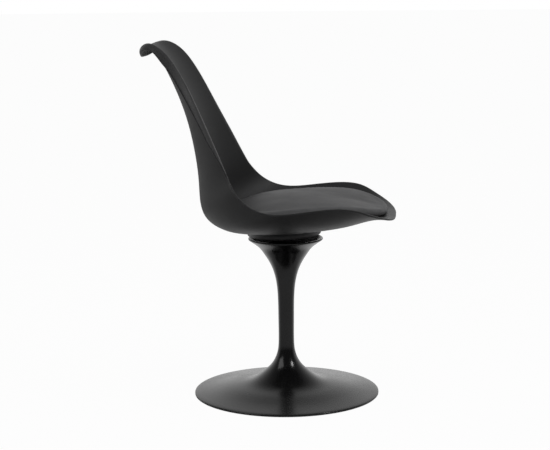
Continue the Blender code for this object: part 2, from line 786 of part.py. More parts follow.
# The cushion: its base follows the shell's skin and steps up over the board, its rounded side leans in to the
# shoulder line, and its top rises from there to the crown
def cushion_mesh():
    edge_station, edge_across = cushion_outline(foot_front_share, foot_back_share, foot_side_share)
    board_x, board_y = plan_circle(board_radius + 2 * touch_gap, cushion_spokes)
    board_top = board_base(board_x) + board_height + touch_gap
    start_station, start_across = skin_place(board_x, board_y)
    ahead = np.clip(np.cos(np.arange(cushion_spokes) * math.tau / cushion_spokes), 0, 1)[:, None]
    up = np.array((0, 0, 1))
    hollow_top = board_base(board_x / 2) + board_height + touch_gap
    hollow_foot = np.minimum(skin_height(board_x, board_y) + cushion_gap, board_top - touch_gap)
    base = [np.column_stack((board_x / 2, board_y / 2, hollow_top)),
            np.column_stack((board_x, board_y, board_top)),
            np.column_stack((board_x, board_y, hollow_foot))]
    for share in np.linspace(0, 1, cushion_base_rings + 1)[1:]:
        station = start_station + (edge_station - start_station) * share
        across = start_across + (edge_across - start_across) * share
        lift = cushion_gap + cushion_front_lift * ahead ** 2 * share ** 3
        base.append(skin(station, across) + up * lift)
    foot = base[-1]
    shoulder = cushion_shoulder()
    rise = up * (shoulder - foot)
    lean = foot - shoulder + rise
    low_pull = foot + rise * (1 - cushion_bulge_share) + lean * cushion_bulge_share
    high_pull = shoulder + lean * (1 - cushion_bulge_share)
    side = []
    for share in np.linspace(0, 1, cushion_side_steps + 1)[1:]:
        rest = 1 - share
        side.append(foot * rest ** 3 + 3 * low_pull * rest ** 2 * share + 3 * high_pull * rest * share ** 2
                    + shoulder * share ** 3)
    top = []
    fall = cushion_crown_height - shoulder[:, 2]
    for share in np.linspace(1, 0, cushion_top_rings + 1)[1:-1]:
        ring = shoulder * share
        ring[:, 2] = cushion_crown_height - fall * share ** cushion_dome_power
        top.append(ring)
    start = (0, 0, board_base(0) + board_height + touch_gap)
    return lofted_mesh("cushion", start, base + side + top, (0, 0, cushion_crown_height))


clear_scene()

# Materials, one for each finish
shell_plastic = make_material("shell_plastic", (0.012, 0.012, 0.013), 0.42, 0.0)
satin_metal = make_material("satin_metal", (0.006, 0.006, 0.006), 0.28, 0.3)
cushion_leather = make_material("cushion_leather", (0.03, 0.03, 0.031), 0.5, 0.0)
zinc_steel = make_material("zinc_steel", (0.55, 0.56, 0.58), 0.35, 1.0)
black_steel = make_material("black_steel", (0.01, 0.01, 0.01), 0.5, 0.3)
bearing_steel = make_material("bearing_steel", (0.6, 0.6, 0.62), 0.15, 1.0)
cast_metal = make_material("cast_metal", (0.08, 0.08, 0.085), 0.7, 0.6)
bush_nylon = make_material("bush_nylon", (0.75, 0.73, 0.68), 0.5, 0.0)
pad_rubber = make_material("pad_rubber", (0.01, 0.01, 0.01), 0.85, 0.0)
board_wood = make_material("board_wood", (0.45, 0.3, 0.17), 0.7, 0.0)
strip_nylon = make_material("strip_nylon", (0.02, 0.02, 0.02), 0.95, 0.0)

# Places that several pieces share
bolt_places = circle_places(bolt_circle_radius, bolt_count, math.pi / bolt_count)
bolt_heights = [float(skin_height(x, y)) for x, y in bolt_places]
washer_seats = [height - washer_sink for height in bolt_heights]
upper_race_high = boss_base_height - touch_gap
ball_height = upper_race_high - race_height + groove_depth - running_gap - ball_radius
lower_race_low = 2 * ball_height - upper_race_high
carrier_top = lower_race_low - touch_gap
ball_circle = (race_inner_radius + race_outer_radius) / 2
ball_places = circle_places(ball_circle, ball_count)
pedestal_outer, pedestal_inner = pedestal_skins()
pedestal_inner = pedestal_inner[::2]

# The base stands still, and everything on seat_turn swivels about its vertical axis
base_frame = bpy.data.objects.new("base_frame", None)
seat_turn = bpy.data.objects.new("seat_turn", None)
for empty in (base_frame, seat_turn):
    bpy.context.scene.collection.objects.link(empty)
seat_turn.parent = base_frame

make_base(base_frame)
make_carrier(base_frame)
make_bearing(base_frame, seat_turn)
make_spindle(seat_turn)
make_swivel_plate(seat_turn)
make_fasteners(seat_turn)
make_shell(seat_turn)
make_board(seat_turn)
make_strips(seat_turn)
add_object("cushion", cushion_mesh(), cushion_leather, seat_turn)
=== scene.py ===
import json
import math

import bpy
import numpy as np
from mathutils import Matrix, Vector


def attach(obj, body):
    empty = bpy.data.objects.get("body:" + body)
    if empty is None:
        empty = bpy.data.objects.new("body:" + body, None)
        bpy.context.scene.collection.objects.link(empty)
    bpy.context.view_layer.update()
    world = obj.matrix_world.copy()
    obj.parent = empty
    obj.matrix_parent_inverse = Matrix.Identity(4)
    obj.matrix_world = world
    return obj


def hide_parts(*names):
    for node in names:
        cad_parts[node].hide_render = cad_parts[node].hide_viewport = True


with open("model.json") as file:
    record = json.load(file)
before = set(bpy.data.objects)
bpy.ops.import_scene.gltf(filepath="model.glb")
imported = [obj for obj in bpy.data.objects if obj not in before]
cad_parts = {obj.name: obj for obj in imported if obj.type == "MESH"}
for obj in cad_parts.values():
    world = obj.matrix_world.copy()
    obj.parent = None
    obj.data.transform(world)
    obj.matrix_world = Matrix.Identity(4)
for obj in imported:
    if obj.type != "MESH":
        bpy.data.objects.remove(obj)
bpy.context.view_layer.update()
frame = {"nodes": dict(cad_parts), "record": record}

nodes = frame["nodes"]

# the photograph's viewpoint, as fitted to the round foot, mouth and stem
view = {
    "turn": math.radians(5.0),        # how far the chair faces towards the camera
    "distance": 3.328,
    "height": 0.921,
    "pitch": math.radians(9.05),      # downwards
    "yaw": math.radians(-0.41),
    "roll": math.radians(-0.53),
    "focalShare": 1479.7 / 550,       # focal length over picture width
    "sensor": 36.0,
    "reach": 200.0,                   # how far the camera sees
}


def turned(vector, angle):
    # a vector turned about the upright axis
    x, y, z = vector
    cosine, sine = math.cos(angle), math.sin(angle)
    return Vector((x * cosine - y * sine, x * sine + y * cosine, z))


def makeCamera():
    pitch, yaw, roll = view["pitch"], view["yaw"], view["roll"]
    forward = Vector((math.sin(yaw) * math.cos(pitch), math.cos(yaw) * math.cos(pitch), -math.sin(pitch)))
    level = Vector((math.cos(yaw), -math.sin(yaw), 0))
    upright = level.cross(forward)
    right = level * math.cos(roll) + upright * math.sin(roll)
    up = upright * math.cos(roll) - level * math.sin(roll)
    columns = [turned(axis, view["turn"]) for axis in (right, up, -forward)]
    place = turned((0, -view["distance"], view["height"]), view["turn"])
    camera = bpy.data.objects.new("camera", bpy.data.cameras.new("camera"))
    bpy.context.scene.collection.objects.link(camera)
    camera.matrix_world = Matrix.Translation(place) @ Matrix(columns).transposed().to_4x4()
    camera.data.sensor_width = view["sensor"]
    camera.data.lens = view["focalShare"] * view["sensor"]
    camera.data.clip_end = view["reach"]
    bpy.context.scene.camera = camera


def addNode(tree, kind, values=None, **settings):
    # a shader node with its settings, and its sockets' values by name or number
    node = tree.nodes.new(kind)
    for key, value in settings.items():
        setattr(node, key, value)
    for key, value in (values or {}).items():
        node.inputs[key].default_value = value
    return node


def linkMath(tree, operation, *terms):
    # a Math node of values or sockets, and its result
    node = addNode(tree, "ShaderNodeMath", operation=operation)
    for index, term in enumerate(terms):
        if isinstance(term, (int, float)):
            node.inputs[index].default_value = term
        else:
            tree.links.new(term, node.inputs[index])
    return node.outputs[0]


def rangeOf(tree, value, low, high, fromLow=0.0, fromHigh=1.0, kind="LINEAR"):
    # a value carried from one range to another and held at its ends
    ends = {"From Min": fromLow, "From Max": fromHigh, "To Min": low, "To Max": high}
    node = addNode(tree, "ShaderNodeMapRange", ends, interpolation_type=kind)
    tree.links.new(value, node.inputs["Value"])
    return node.outputs["Result"]


def objectPlace(tree):
    return addNode(tree, "ShaderNodeTexCoord").outputs["Object"]


def reachTowards(tree, vector, direction):
    # how far a vector reaches in a direction given from the photographer's place
    node = addNode(tree, "ShaderNodeVectorMath", {1: turned(direction, view["turn"])}, operation="DOT_PRODUCT")
    tree.links.new(vector, node.inputs[0])
    return node.outputs["Value"]


def rayKinds(tree):
    # 1 for the camera's own rays, and 1 for those that come by a mirror or through glass
    path = addNode(tree, "ShaderNodeLightPath")
    mirror = linkMath(tree, "MAXIMUM", path.outputs["Is Glossy Ray"], path.outputs["Is Transmission Ray"])
    return path.outputs["Is Camera Ray"], mirror


stage = {
    "roomLevel": 0.3,        # what the room sheds on the object from all round
    "backLevel": 1.0,        # how bright mirrors see the backdrop near the floor
    "skyLevel": 0.07,        # how bright they see the room above it and on the photographer's side
    "backTop": 1.0,          # height of a direction at which the backdrop has faded out
    "backSides": (-0.6, 0.2),         # reach towards the photographer over which it fades out
    "floorRadius": 60.0, "floorSides": 64, "floorColour": 0.38,
    "floorLift": 0.97,       # how far the floor is lifted to white where the camera sees it
    "floorShine": (0.06, 0.85, 0.4),  # the same for mirrors: before the chair, behind it, and how far behind
    "floorFade": (0.6, 1.6, 0.35),    # the distances over which that falls off, and to what share
    # place, height of the point on the axis that it faces, sides, power, and whether mirrors see it
    "lamps": {
        "topLamp": ((0.3, -0.5, 2.7), 0.45, (2.2, 1.4), 48, False),
        "leftLamp": ((-2.0, -1.2, 2.1), 0.5, (1.9, 1.9), 18, True),
        "rightLamp": ((2.0, -1.2, 2.2), 0.5, (0.65, 0.75), 19, True),
    },
}


def makeWorld():
    # a white backdrop for the camera; mirrors see it too, fading upwards and towards the photographer
    world = bpy.data.worlds.new("studio")
    bpy.context.scene.world = world
    world.use_nodes = True
    tree = world.node_tree
    camera, mirror = rayKinds(tree)
    heading = addNode(tree, "ShaderNodeTexCoord").outputs["Generated"]
    parts = addNode(tree, "ShaderNodeSeparateXYZ")
    tree.links.new(heading, parts.inputs[0])
    low = rangeOf(tree, parts.outputs["Z"], 1.0, 0.0, 0.0, stage["backTop"], "SMOOTHSTEP")
    toFront = reachTowards(tree, heading, (0, -1, 0))
    behind = rangeOf(tree, toFront, 1.0, 0.0, *stage["backSides"], "SMOOTHSTEP")
    room, sky = stage["roomLevel"], stage["skyLevel"]
    backdrop = linkMath(tree, "MULTIPLY", low, behind)
    mirrored = linkMath(tree, "MULTIPLY_ADD", backdrop, stage["backLevel"] - sky, sky)
    level = linkMath(tree, "MULTIPLY_ADD", linkMath(tree, "SUBTRACT", mirrored, room), mirror, room)
    tree.links.new(linkMath(tree, "MAXIMUM", level, camera), tree.nodes["Background"].inputs["Color"])


def makeFloor():
    # pale and matt, lifted to white for the camera, and glowing behind the chair where a mirror sees it
    turns = np.linspace(0, math.tau, stage["floorSides"] + 1)[:-1]
    ring = stage["floorRadius"] * np.column_stack((np.cos(turns), np.sin(turns), 0 * turns))
    mesh = bpy.data.meshes.new("floor")
    mesh.from_pydata(ring.tolist(), [], [list(range(len(ring)))])
    floor = bpy.data.objects.new("floor", mesh)
    bpy.context.scene.collection.objects.link(floor)
    material = bpy.data.materials.new("paleFloor")
    material.use_nodes = True
    tree = material.node_tree
    tree.nodes.remove(tree.nodes["Principled BSDF"])
    tone = stage["floorColour"]
    matt = addNode(tree, "ShaderNodeBsdfDiffuse", {"Color": (tone, tone, tone, 1)})
    glow = addNode(tree, "ShaderNodeEmission", {"Strength": 1.0})
    blend = addNode(tree, "ShaderNodeMixShader")
    camera, mirror = rayKinds(tree)
    place = objectPlace(tree)
    before, beyond, depth = stage["floorShine"]
    shine = rangeOf(tree, reachTowards(tree, place, (0, 1, 0)), before, beyond, 0.0, depth, "SMOOTHSTEP")
    near, far, rest = stage["floorFade"]
    span = addNode(tree, "ShaderNodeVectorMath", operation="LENGTH")
    tree.links.new(place, span.inputs[0])
    fade = rangeOf(tree, span.outputs["Value"], 1.0, rest, near, far, "SMOOTHSTEP")
    shine = linkMath(tree, "MULTIPLY", shine, fade)
    seen = linkMath(tree, "MULTIPLY", camera, stage["floorLift"])
    tree.links.new(linkMath(tree, "MULTIPLY_ADD", mirror, shine, seen), blend.inputs["Fac"])
    tree.links.new(matt.outputs[0], blend.inputs[1])
    tree.links.new(glow.outputs[0], blend.inputs[2])
    tree.links.new(blend.outputs[0], tree.nodes["Material Output"].inputs["Surface"])
    mesh.materials.append(material)


def makeLamps():
    for name, (place, aimHeight, sides, power, mirrored) in stage["lamps"].items():
        light = bpy.data.lights.new(name, "AREA")
        light.shape = "RECTANGLE"
        light.size, light.size_y = sides
        light.energy = power
        item = bpy.data.objects.new(name, light)
        bpy.context.scene.collection.objects.link(item)
        item.location = turned(place, view["turn"])
        item.rotation_euler = (Vector((0, 0, aimHeight)) - item.location).to_track_quat("-Z", "Y").to_euler()
        item.visible_camera = False
        item.visible_glossy = mirrored


bpy.context.scene.view_settings.view_transform = "Standard"
makeCamera()
makeWorld()
makeFloor()
makeLamps()
print("stage: camera, floor, world and", len(stage["lamps"]), "lamps")


def smoothStep(value):
    value = np.clip(value, 0, 1)
    return value * value * (3 - 2 * value)


def unit(vectors):
    return vectors / np.maximum(np.linalg.norm(vectors, axis=-1, keepdims=True), 1e-12)


def splineBends(knots, table):
    # second slopes of the natural cubic spline through the rows of a table
    size = len(table)
    system = np.eye(size)
    pull = np.zeros_like(table)
    gaps = np.diff(knots)
    slopes = np.diff(table, axis=0) / gaps[:, None]
    rows = np.arange(1, size - 1)
    system[rows, rows - 1] = gaps[:-1]
    system[rows, rows] = 2 * (gaps[:-1] + gaps[1:])
    system[rows, rows + 1] = gaps[1:]
    pull[rows] = 6 * (slopes[1:] - slopes[:-1])
    return np.linalg.solve(system, pull)


def splineAt(knots, table, bends, place):
    # rows mixed in proportion, plus the cubic terms of both ends' bends
    place = np.asarray(place, float)
    row = np.clip(np.searchsorted(knots, place, side="right") - 1, 0, len(table) - 2)
    gap = (knots[row + 1] - knots[row])[..., None]
    part = (place[..., None] - knots[row][..., None]) / gap
    rest = 1 - part
    straight = table[row] * rest + table[row + 1] * part
    return straight + gap ** 2 * ((rest ** 3 - rest) * bends[row] + (part ** 3 - part) * bends[row + 1]) / 6


def gridMesh(name, rings, start=None, end=None, joined=False):
    # a closed surface through rings of points: quads between them, a fan to a point at each end, or with joined
    # the last ring meets the first. The faces are turned outwards by the sign of the volume that they enclose.
    rings = np.asarray(rings, float)
    ringCount, spokes = rings.shape[:2]
    points = rings.reshape(-1, 3)
    spoke = np.arange(spokes)
    after = (spoke + 1) % spokes
    lower = np.arange(ringCount if joined else ringCount - 1)[:, None] * spokes
    upper = (lower + spokes) % (ringCount * spokes)
    quads = np.stack((lower + spoke, upper + spoke, upper + after, lower + after), -1).reshape(-1, 4)
    fans = []
    if not joined:
        points = np.concatenate((points, [start, end]))
        first = np.full(spokes, len(points) - 2)
        last = first + 1
        base = (ringCount - 1) * spokes
        fans = np.concatenate((np.stack((first, spoke, after), -1),
                               np.stack((last, base + after, base + spoke), -1)))
    corners = points[quads]
    volume = np.einsum("ij,ij->i", corners[:, 0], np.cross(corners[:, 1], corners[:, 2])).sum()
    volume += np.einsum("ij,ij->i", corners[:, 0], np.cross(corners[:, 2], corners[:, 3])).sum()
    faces = quads.tolist() + (fans.tolist() if len(fans) else [])
    if volume < 0:
        faces = [face[::-1] for face in faces]
    mesh = bpy.data.meshes.new(name)
    mesh.from_pydata(points.tolist(), [], faces)
    mesh.shade_smooth()
    return mesh


def addPiece(name, mesh, body, slotName, *replaced):
    item = bpy.data.objects.new(name, mesh)
    bpy.context.scene.collection.objects.link(item)
    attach(item, body)
    if replaced:
        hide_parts(*replaced)
    return item


def giveValue(mesh, name, values):
    # a number for each point of the mesh, for its material to read
    attribute = mesh.attributes.new(name, "FLOAT", "POINT")
    attribute.data.foreach_set("value", np.asarray(values, np.float32).ravel())


def ringLift(radii, heights, steps):
    # a profile of radii and heights carried round the upright axis
    angle = np.arange(steps) * math.tau / steps
    radii, heights = np.asarray(radii)[:, None], np.asarray(heights)[:, None]
    return np.stack((radii * np.cos(angle), radii * np.sin(angle), heights + 0 * angle), -1)


shell = {
    "halfWidth": 0.2335, "frontReach": 0.2475, "backReach": 0.302, "rise": 0.423, "wall": 0.0045,
    "floorHeight": 0.3835, "axisStation": 4,
    "cornerPowers": (3.11, 11.0),     # roundness of the rim before and behind the axis
    "sidePowers": (3.1, 2.2),         # how hollow the sections are, in the seat and in the back
    "bossRadius": 0.081, "bossLow": 0.3685, "bossWall": 0.0045, "bossTaper": 0.002, "bossFillet": 0.024,
    "bossShift": -0.003, "bossSlope": 0.03,         # its middle behind the axis, its edge lower there
    "rollRadii": (0.005, 0.015, 0.009, 0.0165),     # seat, low and high on the back's sides, its top
    "rollAngles": (40, 84, 160),                    # in degrees: seat, sides of the back, its top
    "flanges": (0.013, 0.003),                      # sides of the back, its top
    "rollStart": 0.58, "rollFull": 0.73, "climbFull": 0.86, "flangeFade": 0.91, "lowFlange": 0.45,
    "spokes": 320, "skinRings": 46, "rollRings": 14, "edgeRings": 5, "filletRings": 9, "ringSpread": 1.15,
    "rubWidths": (4.0, 2.5),          # rings over which the rubbed fold and the rubbed edge fade
    # stations from the front edge to the top of the back, as shares of the reaches, the rise and the half width
    "centreReach": (1.0, 0.82, 0.60, 0.32, 0.0, -0.275, -0.446, -0.57, -0.621, -0.636, -0.695, -0.795,
                    -0.896, -0.97),
    "centreRise": (0.083, 0.084, 0.047, 0.0185, 0.0026, 0.0013, 0.0207, 0.073, 0.166, 0.316, 0.554, 0.761,
                   0.906, 0.974),
    "rimReach": (0.984, 0.826, 0.638, 0.3275, 0.043, -0.1226, -0.2354, -0.308, -0.365, -0.449, -0.557, -0.67,
                 -0.795, -0.91),
    "rimRise": (0.144, 0.165, 0.191, 0.175, 0.155, 0.1655, 0.206, 0.2594, 0.327, 0.446, 0.612, 0.784,
                0.932, 1.01),
    "width": (0.816, 0.874, 0.94, 0.9835, 0.998, 0.963, 0.914, 0.8506, 0.754, 0.662, 0.577, 0.532,
              0.508, 0.5),
}
probe = 0.001       # step between places whose difference gives a slope


def reachAt(shares):
    shares = np.array(shares)
    return np.where(shares > 0, shares * shell["frontReach"], shares * shell["backReach"])


lastStation = len(shell["width"]) - 1
stationNumbers = np.arange(lastStation + 1, dtype=float)
stations = np.column_stack((
    reachAt(shell["centreReach"]), shell["floorHeight"] + shell["rise"] * np.array(shell["centreRise"]),
    reachAt(shell["rimReach"]), shell["floorHeight"] + shell["rise"] * np.array(shell["rimRise"]),
    shell["halfWidth"] * np.array(shell["width"])))
stationBends = splineBends(stationNumbers, stations)


def skin(station, across):
    # inner skin: each section rises from its centre to its rim as across to a power
    row = splineAt(stationNumbers, stations, stationBends, station)
    low, high = shell["sidePowers"]
    back = smoothStep((np.asarray(station) - shell["axisStation"] - 1) / shell["axisStation"])
    lift = np.abs(across) ** (low + (high - low) * back)
    x = row[..., 0] + (row[..., 2] - row[..., 0]) * lift
    z = row[..., 1] + (row[..., 3] - row[..., 1]) * lift
    return np.stack((x, row[..., 4] * across, z), -1)


def skinNormal(station, across):
    # on the sitter's side, from differences a little way along and across
    along = skin(station + probe, across) - skin(station - probe, across)
    sideways = skin(station, across + probe) - skin(station, across - probe)
    return unit(np.cross(sideways, along))


def skinPlace(x, y, tries=14):
    # station and share across above a place on the floor plan, by Newton's steps along the stations
    station = np.interp(-x, -stations[:, 0], stationNumbers)
    for number in range(tries):
        across = y / splineAt(stationNumbers, stations, stationBends, station)[..., 4]
        here = skin(station, across)[..., 0]
        slope = (skin(station + probe, across)[..., 0] - here) / probe
        station = station - (here - x) / slope
    return station, across


def skinHeight(x, y):
    return skin(*skinPlace(np.asarray(x, float), np.asarray(y, float)))[..., 2]


def outline(ends, side, powers, count, finer=60):
    # closed line on the skin, a rounded box by powers, its points spread by length and by how much it turns
    turnLength = shell["halfWidth"] / 8
    turn = np.linspace(0, math.pi, finer * count)
    ahead = turn < math.pi / 2
    power = np.where(ahead, *powers)
    along = np.abs(np.cos(turn)) ** (2 / power)
    across = side * np.abs(np.sin(turn)) ** (2 / power)
    axis = shell["axisStation"]
    station = np.where(ahead, axis * (1 - along * ends[0]), axis + (lastStation - axis) * along * ends[1])
    steps = np.diff(skin(station, across), axis=0)
    lengths = np.linalg.norm(steps, axis=1)
    headings = steps / lengths[:, None]
    turns = np.arccos(np.clip((headings[1:] * headings[:-1]).sum(1), -1, 1))
    measure = np.concatenate(((0,), np.cumsum(lengths + turnLength * np.concatenate(((0,), turns)))))
    wanted = np.linspace(0, measure[-1], count // 2 + 1)
    station, across = np.interp(wanted, measure, station), np.interp(wanted, measure, across)
    return np.concatenate((station, station[-2:0:-1])), np.concatenate((across, -across[-2:0:-1]))


def outwardOf(ring, normal):
    return unit(np.cross(unit(np.roll(ring, -1, 0) - np.roll(ring, 1, 0)), normal))


def rollSizes(station, across):
    # radius, angle and flange of the rolled edge: small round the seat, a wide fold low beside the back that
    # tightens and grows a flange on its way up, and a hook on top
    along = station / lastStation
    back = smoothStep((along - shell["rollStart"]) / (shell["rollFull"] - shell["rollStart"]))
    climb = smoothStep((along - shell["rollFull"]) / (shell["climbFull"] - shell["rollFull"]))
    fade = smoothStep((along - shell["flangeFade"]) / (1 - shell["flangeFade"]))
    top = back * (1 - np.abs(across) ** 4)
    seatRadius, lowRadius, sideRadius, topRadius = shell["rollRadii"]
    seatAngle, sideAngle, topAngle = np.radians(shell["rollAngles"])
    side = lowRadius + (sideRadius - lowRadius) * climb
    radius = seatRadius + (side - seatRadius) * back + (topRadius - side) * top
    angle = seatAngle + (sideAngle - seatAngle) * back + (topAngle - sideAngle) * top
    flange = shell["flanges"][0] * back * (shell["lowFlange"] + (1 - shell["lowFlange"]) * climb) * (1 - fade)
    flange = flange + shell["flanges"][1] * top
    return radius[:, None], angle[:, None], flange[:, None]


def rolledRing(station, across, arcShare, flangeShare):
    # the rim carried a share of the way round its arc and then straight on along its flange
    rim = skin(station, across)
    normal = skinNormal(station, across)
    outward = outwardOf(rim, normal)
    radius, angle, flange = rollSizes(station, across)
    turn = angle * arcShare
    heading = np.cos(turn) * outward - np.sin(turn) * normal
    facing = np.sin(turn) * outward + np.cos(turn) * normal
    bent = rim + radius * (np.sin(turn) * outward - (1 - np.cos(turn)) * normal)
    return bent + heading * flange * flangeShare, facing, heading


def shellSurface():
    # rings from the middle of the floor out over the inner skin, round the roll and its edge, back under the
    # outer skin, down the fillet and the boss wall, and up inside the boss
    spokes = shell["spokes"]
    rimStation, rimAcross = outline((1, 1), 1, shell["cornerPowers"], spokes)
    angle = np.arange(spokes) * math.tau / spokes
    compass = np.column_stack((np.cos(angle), np.sin(angle), 0 * angle))
    rootRadius = shell["bossRadius"] + shell["bossTaper"]
    footRadius = rootRadius + shell["bossFillet"]
    middle = np.array((shell["bossShift"], 0, 0))
    footStation, footAcross = skinPlace(middle[0] + footRadius * np.cos(angle), footRadius * np.sin(angle))
    inner, outer = [], []
    for share in (0.2, 0.4, 0.6, 0.8):
        flat = middle + compass * footRadius * share
        flat[:, 2] = skinHeight(flat[:, 0], flat[:, 1])
        inner.append(flat)
    for share in np.linspace(0, 1, shell["skinRings"] + 1) ** shell["ringSpread"]:
        station = footStation + (rimStation - footStation) * share
        across = footAcross + (rimAcross - footAcross) * share
        points = skin(station, across)
        inner.append(points)
        outer.append(points - shell["wall"] * skinNormal(station, across))
    for share in np.linspace(0, 1, shell["rollRings"] + 1)[1:]:
        points, facing, heading = rolledRing(rimStation, rimAcross, share, 0)
        inner.append(points)
        outer.append(points - shell["wall"] * facing)
    flangeShares = (0.33, 0.66, 1)
    for share in flangeShares:
        points, facing, heading = rolledRing(rimStation, rimAcross, 1, share)
        inner.append(points)
        outer.append(points - shell["wall"] * facing)
    half = shell["wall"] / 2
    centreLine = inner[-1] - half * facing      # the cut edge is a slightly flattened half round
    edge = [centreLine + half * (math.cos(t) * facing + math.sin(t) * heading * 0.8)
            for t in np.linspace(0, math.pi, shell["edgeRings"] + 2)[1:-1]]
    # the fillet is a curve of the second order from the skin's foot past the corner to the foot of the wall
    foot = outer[0]
    up = np.array((0, 0, 1))
    low = middle + up * (shell["bossLow"] + shell["bossSlope"] * compass[:, :1] * shell["bossRadius"])
    wallTop = low + compass * rootRadius + up * shell["bossWall"] / 2
    corner = middle + compass * (rootRadius + shell["bossFillet"] / 5) + up * foot[:, 2:]
    fillet = [foot * (1 - t) ** 2 + corner * 2 * t * (1 - t) + wallTop * t * t
              for t in np.linspace(0, 1, shell["filletRings"] + 1)[1:]]
    lip = shell["bossWall"] / 4
    wallFoot = low + compass * shell["bossRadius"] + up * lip
    fillet += [fillet[-1] * (1 - t) + wallFoot * t for t in (0.33, 0.66)]
    boss = [low + compass * (shell["bossRadius"] - lip * (1 - math.cos(t))) + up * lip * (1 - math.sin(t))
            for t in np.linspace(0, math.pi / 2, 4)]
    innerRadius = shell["bossRadius"] - shell["bossWall"]
    boss.append(low + compass * innerRadius)
    roof = []
    for share in (1, 0.75, 0.5, 0.25):
        flat = middle + compass * innerRadius * share
        flat[:, 2] = skinHeight(flat[:, 0], flat[:, 1]) - shell["wall"]
        roof.append(flat)
    rings = inner + edge + outer[::-1] + fillet + boss + roof
    centre = middle + up * float(skinHeight(middle[0], 0))
    mesh = gridMesh("seatShell", rings, centre, centre - up * shell["wall"])
    # how near a point is to the fold and the cut edge, where hands rub the grain smooth
    fold = len(inner) - len(flangeShares) - shell["rollRings"] // 2
    cut = len(inner) + shell["edgeRings"] / 2
    number = np.arange(len(rings))
    rub = sum(np.exp(-((number - at) / width) ** 2) for at, width in zip((fold, cut), shell["rubWidths"]))
    giveValue(mesh, "rub", np.append(np.repeat(rub, spokes), (0, 0)))
    return mesh


pedestal = {
    "discRadius": 0.212, "discEdge": 0.0052, "columnRadius": 0.0179, "waist": 0.121,
    "mouthRadius": 0.085, "mouthHeight": 0.362, "wall": 0.0025, "clearance": 0.0005, "mouthEdge": 0.004,
    "steps": 240, "rings": 130, "discRound": 0.0018, "chamfer": 0.0004,
    "dustReach": (0.03, 0.13),        # radii between which dust begins to lie on the foot
    "flareOut": (0.967, 0.777, 0.621, 0.486, 0.314, 0.18, 0.067, 0.0134, 0.001),
    "flareUp": (0.979, 0.942, 0.905, 0.855, 0.78, 0.701, 0.585, 0.432, 0.2),
    "footOut": (0.0077, 0.0355, 0.0953, 0.173, 0.32, 0.526, 0.732, 1.0),
    "footUp": (0.837, 0.674, 0.511, 0.391, 0.228, 0.142, 0.069, 0.0),
}


def pedestalSurface():
    # a spline's outline and a wall inside it are carried round the axis, with the mouth's and disc's edges eased
    p = pedestal
    column, waist = p["columnRadius"], p["waist"]
    flare = np.column_stack((column + (p["mouthRadius"] - column) * np.array(p["flareOut"]),
                             waist + (p["mouthHeight"] - waist) * np.array(p["flareUp"])))
    foot = np.column_stack((column + (p["discRadius"] - column) * np.array(p["footOut"]),
                            p["discEdge"] + (waist - p["discEdge"]) * np.array(p["footUp"])))
    points = np.concatenate((flare, ((column, waist),), foot))
    knots = np.concatenate(((0,), np.cumsum(np.linalg.norm(np.diff(points, axis=0), axis=1))))
    bends = splineBends(knots, points)
    places = np.interp(np.linspace(0, len(knots) - 1, p["rings"]), np.arange(len(knots)), knots)
    outer = splineAt(knots, points, bends, places)
    heading = unit(np.gradient(outer, axis=0))
    inner = outer + p["wall"] * np.column_stack((heading[:, 1], -heading[:, 0]))
    ease = p["mouthEdge"] / 3
    low = np.array((p["mouthRadius"] - ease, p["mouthHeight"] - p["mouthEdge"] + ease))
    high = np.array((p["mouthRadius"] - ease, p["mouthHeight"] - ease))
    arcs = [(high, math.pi / 2, 0, 7), (low, 0, -math.pi / 3, 5)]
    mouth = np.concatenate([centre + ease * np.column_stack((np.cos(t), np.sin(t)))
                            for centre, start, stop, count in arcs for t in [np.linspace(start, stop, count)]])
    r = p["discRound"]
    rim = np.array((p["discRadius"] - r, p["discEdge"] - r))
    t = np.linspace(math.pi / 2.2, 0, 6)
    rimArc = rim + r * np.column_stack((np.cos(t), np.sin(t)))
    outer = outer[outer[:, 0] < p["discRadius"] - r * 1.2]
    skirt = p["discRadius"] - p["wall"]
    floorGap, chamfer = p["clearance"], p["chamfer"]
    bottom = [(p["discRadius"], floorGap + chamfer), (p["discRadius"] - chamfer, floorGap), (skirt, floorGap)]
    under = inner[inner[:, 0] < skirt - p["wall"] / 2]
    lower = inner[inner[:, 1] < waist]
    bottom.append((skirt, float(np.interp(skirt, lower[:, 0], lower[:, 1]))))
    profile = np.concatenate((mouth, outer, rimArc, bottom, under[::-1], ((under[0, 0], p["mouthHeight"]),)))
    mesh = gridMesh("pedestalSkin", ringLift(profile[:, 0], profile[:, 1], p["steps"]), joined=True)
    # what the air lets fall on the open foot, and the edges that feet and hands polish
    begin, full = p["dustReach"]
    discEnd = len(mouth) + len(outer)
    dust = smoothStep((profile[:, 0] - begin) / (full - begin)) * (profile[:, 1] < waist)
    dust[discEnd + len(rimArc):] = 0
    rub = np.zeros(len(profile))
    rub[discEnd - 2:discEnd + len(rimArc)] = 1
    rub[3:len(mouth)] = 1
    giveValue(mesh, "dust", np.repeat(dust, p["steps"]))
    giveValue(mesh, "rub", np.repeat(rub, p["steps"]))
    return mesh


shellPiece = addPiece("seatShell", shellSurface(), "seat", "shell_plastic", "seat_shell")
pedestalPiece = addPiece("pedestalSkin", pedestalSurface(), "base", "satin_metal", "pedestal")
print("shell:", len(shellPiece.data.polygons), "faces, pedestal:", len(pedestalPiece.data.polygons), "faces")


